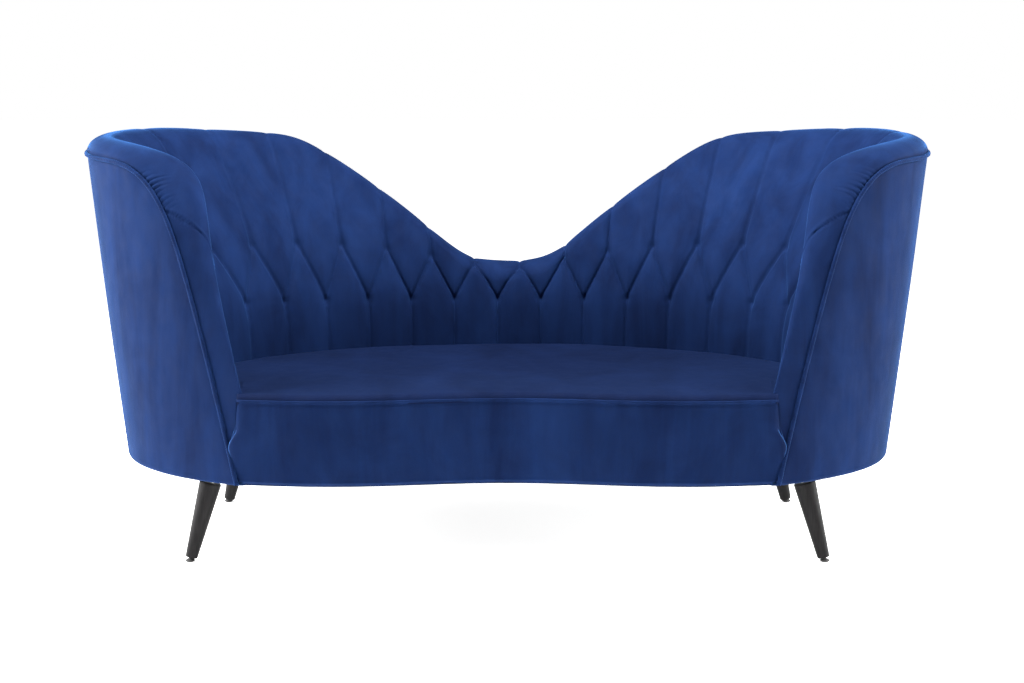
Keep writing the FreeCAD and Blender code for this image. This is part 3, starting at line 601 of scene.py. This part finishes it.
def roll_line(angle, rows):
    """Reach and height over the padded edge, from the welt to the top of the inside."""
    welt = welt_height(angle)
    crest = crest_height(angle)
    inner_top = inner_top_height(angle)
    outside = outer_reach(angle, welt)
    inside = inner_reach(angle, inner_top)
    forward = np.clip((np.abs(angle) - FRONT_TURN_START) / FRONT_TURN_SPAN, 0, 1)
    middle = outside + (CREST_SHARE + CREST_SHARE_GAIN * forward) * (inside - outside)
    half = rows // 2
    out_slope = (outer_reach(angle, welt + MM) - outside) / MM
    in_slope = (inner_reach(angle, inner_top + MM) - inside) / MM
    out_turn = outside + out_slope * (crest - welt)
    in_turn = inside + np.minimum(in_slope * (crest - inner_top), INNER_TURN_LIMIT * (middle - inside))
    first = conic((outside, welt), (out_turn, crest), (middle, crest), half + 1)
    second = conic((middle, crest), (in_turn, crest), (inside, inner_top), rows - half)
    reach = np.concatenate((first[0][:-1], second[0]))
    height = np.concatenate((first[1][:-1], second[1]))
    return reach, height


def inside_line(angle, rows):
    """Reach and height down the inside of the wall, from the padded edge to below the seat."""
    inner_top = inner_top_height(angle)
    share = np.linspace(0, 1, rows + 1)[1:, None]
    height = inner_top + (SEAT_TUCK - inner_top) * share
    return inner_reach(angle, height), height


def build_inside():
    """Tufted inside of the back, wings and arms, rolled over the padded edge to the welt."""
    angle = wall_angles()
    roll = roll_line(angle, ROLL_ROWS)
    inside = inside_line(angle, INSIDE_ROWS)
    reach = np.concatenate((roll[0], inside[0]))
    height = np.concatenate((roll[1], inside[1]))
    surface = place(angle[None, :], reach, height)
    normal = grid_normals(surface)
    middle = len(angle) // 2
    if normal[-10, middle, 1] > 0:
        normal = -normal
    steps = np.linalg.norm(np.diff(surface, axis=0), axis=2)
    from_welt = np.concatenate((np.zeros((1, len(angle))), np.cumsum(steps, axis=0)))
    unrolled = height[ROLL_ROWS - 1] + (from_welt[ROLL_ROWS - 1] - from_welt)
    level = np.where(np.arange(len(height))[:, None] < ROLL_ROWS, unrolled, height)
    tuft = tuft_position(surface)
    tufted = smooth_step(tuft, FIRST_TUFT - TUFT_FADE, FIRST_TUFT)
    tufted *= 1 - smooth_step(tuft, LAST_TUFT, LAST_TUFT + TUFT_FADE)
    tufted *= smooth_step(from_welt, WELT_MARGIN, FULL_TUFT)
    near_crest = np.exp(-((crest_height(angle) - height) / CREST_FADE) ** 2) * (np.abs(angle) < BACK_END)
    depth = tuft_depth(tuft, level) * tufted * (1 - 0.5 * near_crest)
    depth += gathers(angle, surface, from_welt)
    depth += front_fold(angle, from_welt)
    depth -= WELT_PULL * (1 - smooth_step(from_welt, 0, WELT_PULL_RUN))
    surface = surface + normal * depth[..., None]
    room = outer_reach(angle, PAD_LEVEL) - inner_reach(angle, PAD_LEVEL)
    thickness = np.clip(PAD_SHARE * room, THINNEST_PAD, THICKEST_PAD)
    picks = np.linspace(len(height) - 1, 6, LINING_ROWS).astype(int)
    behind = surface[picks] - normal[picks] * thickness[None, :, None]
    piece = closed_grid("inside_velvet", np.concatenate((surface, behind)))
    nodes = ["inside_back_cover", "inside_back_padding", "back_edge_roll"]
    for _, name in SIDES:
        nodes += ["wing_padding_" + name, "wing_edge_roll_" + name, "arm_front_cover_" + name]
        nodes += ["arm_front_padding_" + name, "arm_front_roll_" + name]
    finish_piece(piece, VELVET, nodes)


def gathers(angle, surface, from_welt):
    """Small pleats where the cloth turns the top corner of an arm, running in from the welt."""
    welt = surface[0]
    length = np.concatenate(([0], np.cumsum(np.linalg.norm(np.diff(welt, axis=0), axis=1))))
    length -= length[len(length) // 2]
    window = np.exp(-((np.abs(angle) - GATHER_ANGLE) / GATHER_SPREAD) ** 2)
    uneven = 1 + 0.35 * np.sin(length * 97) + 0.2 * np.sin(length * 231)
    phase = 2 * math.pi * np.abs(length) / GATHER_PITCH + 0.8 * np.sin(length * 60)
    fade = np.exp(-(from_welt / (GATHER_REACH * uneven)) ** 2)
    ridges = np.abs(np.sin(phase / 2)) - GATHER_LEVEL
    return GATHER_DEPTH * window * ridges * fade


def front_fold(angle, from_welt):
    """Slack fold in the front of each arm, from the welt down to the panel's inner edge."""
    width = from_welt[ROLL_ROWS - 1]
    share = np.clip(from_welt / width, 0, 1)
    fold = FOLD_START + (FOLD_END - FOLD_START) * share
    away = (np.abs(angle) - fold) * FOLD_RUN
    fade = (1 - smooth_step(share, FOLD_FADE_OUT, 1.0)) * smooth_step(share, 0.0, FOLD_FADE_IN)
    valley = -FOLD_DEPTH * np.exp(-(away / FOLD_WIDTH) ** 2)
    shoulder = 0.5 * FOLD_DEPTH * np.exp(-((away + 3 * FOLD_WIDTH) / (2.5 * FOLD_WIDTH)) ** 2)
    return (valley + shoulder) * fade


# ---------------------------------------------------------------- outside covers

HEM = 0.011
HEM_TUCK = 0.022
HEM_LIFT = 0.002
HEM_STEPS = 9
TUCK_STEPS = 4
TUCK_END = 0.25
COVER = 0.003
COVER_ROWS = 70
COVER_FULLNESS = 0.0016
COVER_PULL = 0.0022
COVER_PULL_RUN = 0.012
UNDER_WELT = 0.001
SEAM_PULL = 0.0022
SEAM_PULL_RUN = 0.004
COVER_UNEVEN = 0.0007
BACK_COLUMNS = 261
ARM_COLUMNS = 221


def build_outside(name, start, end, nodes, columns):
    """Tight cover from the folded hem up to the welt."""
    angle = np.linspace(start, end, columns)
    welt = welt_height(angle) - UNDER_WELT
    turn = np.linspace(0, math.pi / 2, HEM_STEPS)[:, None]
    foot = outer_reach(angle, BASE + HEM)
    tuck_reach = foot - HEM - HEM_TUCK * np.linspace(1, TUCK_END, TUCK_STEPS)[:, None]
    tuck_height = np.full_like(tuck_reach, BASE + HEM_LIFT)
    hem_reach = foot - HEM + HEM * np.sin(turn)
    hem_height = BASE + HEM + (HEM_LIFT - HEM) * np.cos(turn) + 0 * angle
    share = np.linspace(0, 1, COVER_ROWS)[1:, None]
    low = BASE + HEM
    height = low + (welt - low) * share
    full = COVER_FULLNESS * np.sin(math.pi * share)
    full = full - COVER_PULL * smooth_step(height, welt - COVER_PULL_RUN, welt)
    reach = outer_reach(angle, height) + full
    edge = np.minimum(angle - start, end - angle) * math.radians(1) * outer_reach(angle, PAD_LEVEL)
    pull = SEAM_PULL * np.exp(-(edge / SEAM_PULL_RUN) ** 2)
    reach = reach - pull
    hem_reach = hem_reach - pull
    outer = place(
        angle[None, :],
        np.concatenate((tuck_reach, hem_reach, reach)),
        np.concatenate((tuck_height, hem_height, height)),
    )
    normal = grid_normals(outer)
    if (normal[40] * outer[40] * (1, 1, 0)).sum(axis=1).mean() < 0:
        normal = -normal
    outer += normal * crumple(outer, COVER_UNEVEN)[..., None]
    picks = np.array([81, 60, 40, 20, 12, 8, 4, 0])
    inner = outer[picks] - normal[picks] * COVER
    piece = closed_grid(name, np.concatenate((outer, inner)))
    finish_piece(piece, VELVET, nodes)


def crumple(points, depth):
    """Slow unevenness of stretched cloth, the same on every run."""
    x, y, z = np.moveaxis(points, -1, 0)
    value = np.sin(11 * x + 5 * z + 1.3) * np.sin(7 * y - 9 * z + 0.4)
    value += 0.6 * np.sin(23 * x - 17 * y + 4 * z) * np.sin(13 * z + 6 * x + 2.1)
    return depth * value


# ---------------------------------------------------------------- welts

STITCH_PITCH = 0.006
WELT_SPLIT = 100
WELT_START = 0.1
WELT_BACK_POINTS = 520
WELT_FRONT_POINTS = 700


def tube(name, path, radius, sides=12):
    """Round cord along a path, with the slight pinch of the stitches that hold it."""
    tangent = np.gradient(path, axis=0)
    tangent /= np.linalg.norm(tangent, axis=1, keepdims=True)
    outward = path * (1, 1, 0) - (0, POLE, 0)
    side = np.cross(tangent, outward)
    side /= np.linalg.norm(side, axis=1, keepdims=True)
    up = np.cross(side, tangent)
    length = np.concatenate(([0], np.cumsum(np.linalg.norm(np.diff(path, axis=0), axis=1))))
    pinch = 0.05 * np.sin(2 * math.pi * length / STITCH_PITCH) + 0.03 * np.sin(length * 71)
    size = radius * (1 + pinch)
    turn = 2 * math.pi * np.arange(sides)[:, None, None] / sides
    ring = (np.cos(turn) * up + np.sin(turn) * side) * size[None, :, None]
    return closed_grid(name, path[None] + ring)


def build_welts():
    """Corded welt of each half, from the middle of the back to the foot of the arm."""
    for side, name in SIDES:
        back = np.linspace(WELT_START, WELT_SPLIT, WELT_BACK_POINTS)
        front = np.linspace(WELT_SPLIT, COVER_END, WELT_FRONT_POINTS)[1:]
        angle = side * np.concatenate((back, front))
        height = welt_height(angle)
        path = place(angle, outer_reach(angle, height) + 0.3 * WELT_RADIUS, height)
        piece = tube("welt_velvet_" + name, path, WELT_RADIUS)
        finish_piece(piece, WELT_VELVET, ["edge_welt_" + name])


# ---------------------------------------------------------------- seat and border

CROWN = 0.009
CROWN_FRONT_RUN = 0.09
CROWN_WALL_RUN = 0.07
SEAT_DEPTH = 0.050
SEAT_EDGE = 0.010
SEAT_EDGE_RUN = 0.014
SEAT_SIDE = INNER_HALF + 0.003
SEAT_BOW = INNER_HALF + 0.004
SEAT_REAR = INNER_REAR + 0.006
SEAT_COLUMNS = 261
SEAT_ROWS = 120
SEAT_UNEVEN = 0.0010
WALL_DROP = 0.012
WALL_DROP_RUN = 0.010


def seat_front(across):
    """Front edge of the seat in plan: over the border, then inside the arms."""
    bow = np.sqrt(np.maximum(1 - (across / SEAT_BOW) ** 2, 0))
    over_border = np.abs(across) < BORDER_HALF - 0.001
    return np.where(over_border, border_line(across), INNER_CENTRE - INNER_FRONT * bow)


def seat_rear(across):
    """Rear edge of the seat in plan, just past the inside of the wall."""
    return INNER_CENTRE + SEAT_REAR * np.sqrt(np.maximum(1 - (across / SEAT_BOW) ** 2, 0))


def build_seat():
    """Crowned seat with a soft front edge, sinking where it meets the wall."""
    turn = np.linspace(-math.pi / 2, math.pi / 2, SEAT_COLUMNS)
    across = SEAT_SIDE * np.sin(turn)
    front = seat_front(across)
    rear = seat_rear(across)
    share = np.linspace(0, 1, SEAT_ROWS)[:, None] ** 1.15
    along = front + (rear - front) * share
    inset = along - front
    to_wall = np.minimum(rear - along, (SEAT_SIDE - np.abs(across)) * 1.6)
    to_wall = np.maximum(to_wall, 0)
    crown = CROWN * np.tanh(inset / CROWN_FRONT_RUN) * np.tanh(to_wall / CROWN_WALL_RUN)
    rounding = 1 - np.sqrt(np.clip(1 - (1 - inset / SEAT_EDGE_RUN) ** 2, 0, 1))
    drop = SEAT_EDGE * rounding * (inset < SEAT_EDGE_RUN)
    drop += WALL_DROP * np.exp(-to_wall / WALL_DROP_RUN)
    top = np.stack((np.broadcast_to(across, along.shape), along, SEAT + crown - drop), axis=-1)
    top[..., 2] += crumple(top, SEAT_UNEVEN) * np.tanh(inset / 0.05)
    picks = np.linspace(SEAT_ROWS - 1, 0, 8).astype(int)
    bottom = top[picks].copy()
    bottom[..., 2] = SEAT - SEAT_DEPTH
    bottom[..., 1] = np.clip(bottom[..., 1], front + 0.004, None)
    piece = closed_grid("seat_velvet_painted_shade", np.concatenate((top, bottom)))
    # The seat takes the darker copy of the velvet, which is painted shade.
    finish_piece(piece, SEAT_SHADED_VELVET, ["seat_cover", "seat_foam"])


BORDER_TOP = SEAT - 0.009
BORDER_ROWS = 60
BORDER_COLUMNS = 281
BORDER_OUT_START = 0.305
BORDER_OUT_END = 0.254
BORDER_FULLNESS = 0.004
LIP = 0.0026
LIP_DROP = 0.0025
LIP_WIDTH = 0.0022
GROOVE = 0.0010
GROOVE_DROP = 0.008
GROOVE_WIDTH = 0.003
EDGE_PULL = 0.003
EDGE_PULL_RUN = 0.004
BORDER_UNEVEN = 0.0008


def border_half(height):
    """Half width of the border: straight beside the seat, then out to the welts."""
    angle = np.linspace(120, WELT_FOOT, 80)
    welt = welt_height(angle)
    welt_across = outer_reach(angle, welt) * np.sin(np.radians(angle))
    at_welt = np.interp(height, welt[::-1], welt_across[::-1])
    out = smooth_step(height, BORDER_OUT_START, BORDER_OUT_END)
    return BORDER_HALF + (at_welt - BORDER_HALF) * out


def build_border():
    """Waved front border with its seam under the seat's edge and a folded hem."""
    columns = np.linspace(-1, 1, BORDER_COLUMNS)
    top = BORDER_TOP
    front_rows = np.linspace(0, 1, BORDER_ROWS)[:, None]
    height = top + (BASE + HEM - top) * front_rows
    turn = np.linspace(0, math.pi / 2, HEM_STEPS)[1:, None]
    hem_height = BASE + HEM_LIFT + (HEM - HEM_LIFT) * np.cos(turn)
    back = HEM * (1 - np.cos(turn))
    tuck = HEM + HEM_TUCK * np.linspace(TUCK_END, 1, TUCK_STEPS)[:, None]
    heights = np.concatenate((height, hem_height, np.full((TUCK_STEPS, 1), BASE + HEM_LIFT)))
    backward = np.concatenate((np.zeros((BORDER_ROWS, 1)), back, tuck))
    half = border_half(heights)
    across = half * columns
    full = BORDER_FULLNESS * np.sin(math.pi * np.clip((top - heights) / (top - BASE), 0, 1))
    lip = LIP * np.exp(-((heights - (top - LIP_DROP)) / LIP_WIDTH) ** 2)
    groove = -GROOVE * np.exp(-((heights - (top - GROOVE_DROP)) / GROOVE_WIDTH) ** 2)
    pull = EDGE_PULL * np.exp(-(half - np.abs(across)) / EDGE_PULL_RUN)
    along = border_line(across) - full - lip - groove + pull + backward
    face = np.stack(np.broadcast_arrays(across, along, heights), axis=-1)
    face[..., 1] += crumple(face, BORDER_UNEVEN)
    picks = np.array([71, 66, 60, 45, 30, 15, 4, 0])
    inner = face[picks] + (0, 0.006, 0)
    inner[:3, :, 2] += 0.003
    piece = closed_grid("border_velvet", np.concatenate((face, inner)))
    finish_piece(piece, VELVET, ["front_border_cover", "front_border_padding"])


# ---------------------------------------------------------------- underside

LINING_INSET = 0.010
LINING_SAG = 0.0012
LINING_LIFT = 0.0012
LINING_RIPPLE = 0.0004
LINING_THICKNESS = 0.0006


def build_lining():
    """Black dust cloth stretched over the underside."""
    half = OUTER_SIDE - LINING_INSET
    across = half * np.sin(np.linspace(-math.pi / 2, math.pi / 2, 161))
    share_out = np.abs(across) / half
    rear_bow = np.clip(1 - share_out ** REAR_POWER, 0, 1) ** (1 / REAR_POWER)
    front_bow = np.clip(1 - share_out ** FRONT_POWER, 0, 1) ** (1 / FRONT_POWER)
    rear = POLE + (OUTER_REAR - LINING_INSET) * rear_bow
    front = POLE - (OUTER_FRONT - LINING_INSET) * front_bow
    front = np.maximum(front, border_line(across) + LINING_INSET)
    share = np.linspace(0, 1, 61)[:, None]
    along = front + (rear - front) * share
    sag = LINING_SAG * np.sin(math.pi * share) * (1 - (across / half) ** 2)
    ripple = LINING_RIPPLE * np.sin(across * 60) * np.exp(-np.minimum(share, 1 - share) / 0.06)
    height = BASE + LINING_LIFT + 0.5 * np.abs(ripple) + 0.4 * sag
    bottom = np.stack((np.broadcast_to(across, along.shape), along, height), axis=-1)
    top = bottom[::-1] + (0, 0, LINING_THICKNESS)
    piece = closed_grid("lining_cloth", np.concatenate((bottom, top)))
    finish_piece(piece, MATERIALS["black_lining"], ["dust_cover"])


# ---------------------------------------------------------------- legs

LEG_TOP = 0.0235
LEG_FOOT = 0.013
LEG_EASE = 0.0018
LEG_SPLAY = math.tan(math.radians(14.6))
LEG_RAKE = math.tan(math.radians(8))
LEG_RINGS = 40
LEG_SIDES = 48
FOOT_HEIGHT = 0.009
FOOT_SIDE = 0.676
FOOT_FRONT = 0.340
FOOT_REAR = 0.157
PLATE = 0.0025
PLATE_GAP = 0.0004


def leg_axis(side, end):
    """Foot of a leg on the floor, and the way up along it for each unit of height."""
    up = np.array([-side * LEG_SPLAY, -end * LEG_RAKE, 1.0])
    foot = np.array([side * FOOT_SIDE, -FOOT_FRONT if end < 0 else FOOT_REAR, 0.0])
    return foot, up


def build_legs():
    """Round tapered legs with an eased top and foot."""
    tilt = math.hypot(LEG_SPLAY, LEG_RAKE)
    top = BASE - PLATE - LEG_TOP * tilt - PLATE_GAP
    for side, end, name in CORNERS:
        foot, up = leg_axis(side, end)
        size = np.linalg.norm(up)
        low = foot + up * FOOT_HEIGHT
        length = (top - FOOT_HEIGHT) * size
        direction = up / size
        first = np.cross(direction, (0, 1, 0))
        first /= np.linalg.norm(first)
        second = np.cross(direction, first)
        share = np.linspace(0, 1, LEG_RINGS)
        radius = LEG_FOOT + (LEG_TOP - LEG_FOOT) * share
        foot_steps = [0, 0, 0.0005, 0.0012]
        top_steps = [length - 0.0012, length - 0.0005, length, length]
        along = np.concatenate((foot_steps, LEG_EASE + (length - 2 * LEG_EASE) * share, top_steps))
        eased = LEG_EASE * np.array((1, 0.45, 0.12))
        foot_sizes = np.concatenate(([0.4 * LEG_FOOT], LEG_FOOT - eased))
        top_sizes = np.concatenate((LEG_TOP - eased[::-1], [0.4 * LEG_TOP]))
        size_line = np.concatenate((foot_sizes, radius, top_sizes))
        turn = 2 * math.pi * np.arange(LEG_SIDES)[:, None, None] / LEG_SIDES
        ring = np.cos(turn) * first + np.sin(turn) * second
        points = low + direction * along[None, :, None] + ring * size_line[None, :, None]
        piece = closed_grid("leg_turned_" + name, points)
        finish_piece(piece, BLACK_WOOD, ["leg_" + name])


# ---------------------------------------------------------------- carried-over CAD nodes

def paint_nodes():
    """Materials of the CAD nodes that stay, by the slots in the record."""
    slots = {part["node"]: part["material_slot"] for part in frame["record"]["subparts"]}
    for name, node in frame["nodes"].items():
        if node.hide_render:
            continue
        material = MATERIALS[slots[name]]
        node.data.materials.clear()
        node.data.materials.append(material)


# ---------------------------------------------------------------- stage, light and camera

def build_stage():
    """Plain white floor, lit mostly from itself so that it stays white."""
    bpy.ops.mesh.primitive_plane_add(size=60, location=(0, 0, 0))
    floor = bpy.context.object
    floor.name = "studio_floor"
    material, tree, shader = start_material("studio_floor", 0.9)
    shader.inputs["Base Color"].default_value = (0.93, 0.93, 0.93, 1)
    shader.inputs["Emission Color"].default_value = (1, 1, 1, 1)
    shader.inputs["Emission Strength"].default_value = 0.86
    shader.inputs["Specular IOR Level"].default_value = 0.1
    floor.data.materials.append(material)


def soft_light(name, place_at, aim, size, power):
    """Rectangular soft box at a place, aimed at a point."""
    light = bpy.data.lights.new(name, "AREA")
    light.shape = "RECTANGLE"
    light.size, light.size_y = size
    light.energy = power
    lamp = bpy.data.objects.new(name, light)
    bpy.context.collection.objects.link(lamp)
    lamp.location = place_at
    way = np.array(aim) - np.array(place_at)
    tip = math.atan2(math.hypot(way[0], way[1]), -way[2])
    lamp.rotation_euler = (tip, 0, math.atan2(way[1], way[0]) - math.pi / 2)


AMBIENT = 0.18


def build_lights():
    """White studio: a soft box at each side, one above, and a weak even light from around."""
    world = bpy.data.worlds.new("studio")
    world.use_nodes = True
    background = world.node_tree.nodes["Background"]
    background.inputs["Color"].default_value = (1, 1, 1, 1)
    paths = world.node_tree.nodes.new("ShaderNodeLightPath")
    seen = spread(world.node_tree, paths.outputs["Is Camera Ray"], 0.0, 1.0, AMBIENT, 1.0)
    world.node_tree.links.new(seen, background.inputs["Strength"])
    bpy.context.scene.world = world
    soft_light("key", (-3.2, -0.1, 1.45), (-0.8, -0.1, 0.5), (2.2, 1.4), 335)
    soft_light("fill", (3.2, -0.1, 1.40), (0.8, -0.1, 0.5), (2.2, 1.6), 220)
    soft_light("top", (0, -0.45, 2.7), (0, 0.2, 0.45), (0.8, 0.7), 160)


SENSOR = 36
FOCAL = 58.6758
PITCH = 9.29
SIDE_SHIFT = 0.0043945
CAMERA_PLACE = (0, -3.775, 1.037)


def build_camera():
    """Camera in front of the sofa, about a metre up and tipped down."""
    camera = bpy.data.cameras.new("camera")
    camera.lens = FOCAL
    camera.sensor_width = SENSOR
    camera.shift_x = SIDE_SHIFT
    holder = bpy.data.objects.new("camera", camera)
    bpy.context.collection.objects.link(holder)
    holder.location = CAMERA_PLACE
    holder.rotation_euler = (math.radians(90 - PITCH), 0, 0)
    bpy.context.scene.camera = holder
    bpy.context.scene.view_settings.view_transform = "Standard"


build_inside()
build_outside("outside_back_velvet", -BACK_END, BACK_END, ["outside_back_cover"], BACK_COLUMNS)
build_outside("outside_arm_velvet_left", -COVER_END, -BACK_END, ["outside_arm_cover_left"], ARM_COLUMNS)
build_outside("outside_arm_velvet_right", BACK_END, COVER_END, ["outside_arm_cover_right"], ARM_COLUMNS)
build_welts()
build_seat()
build_border()
build_lining()
build_legs()
paint_nodes()
build_stage()
build_lights()
build_camera()
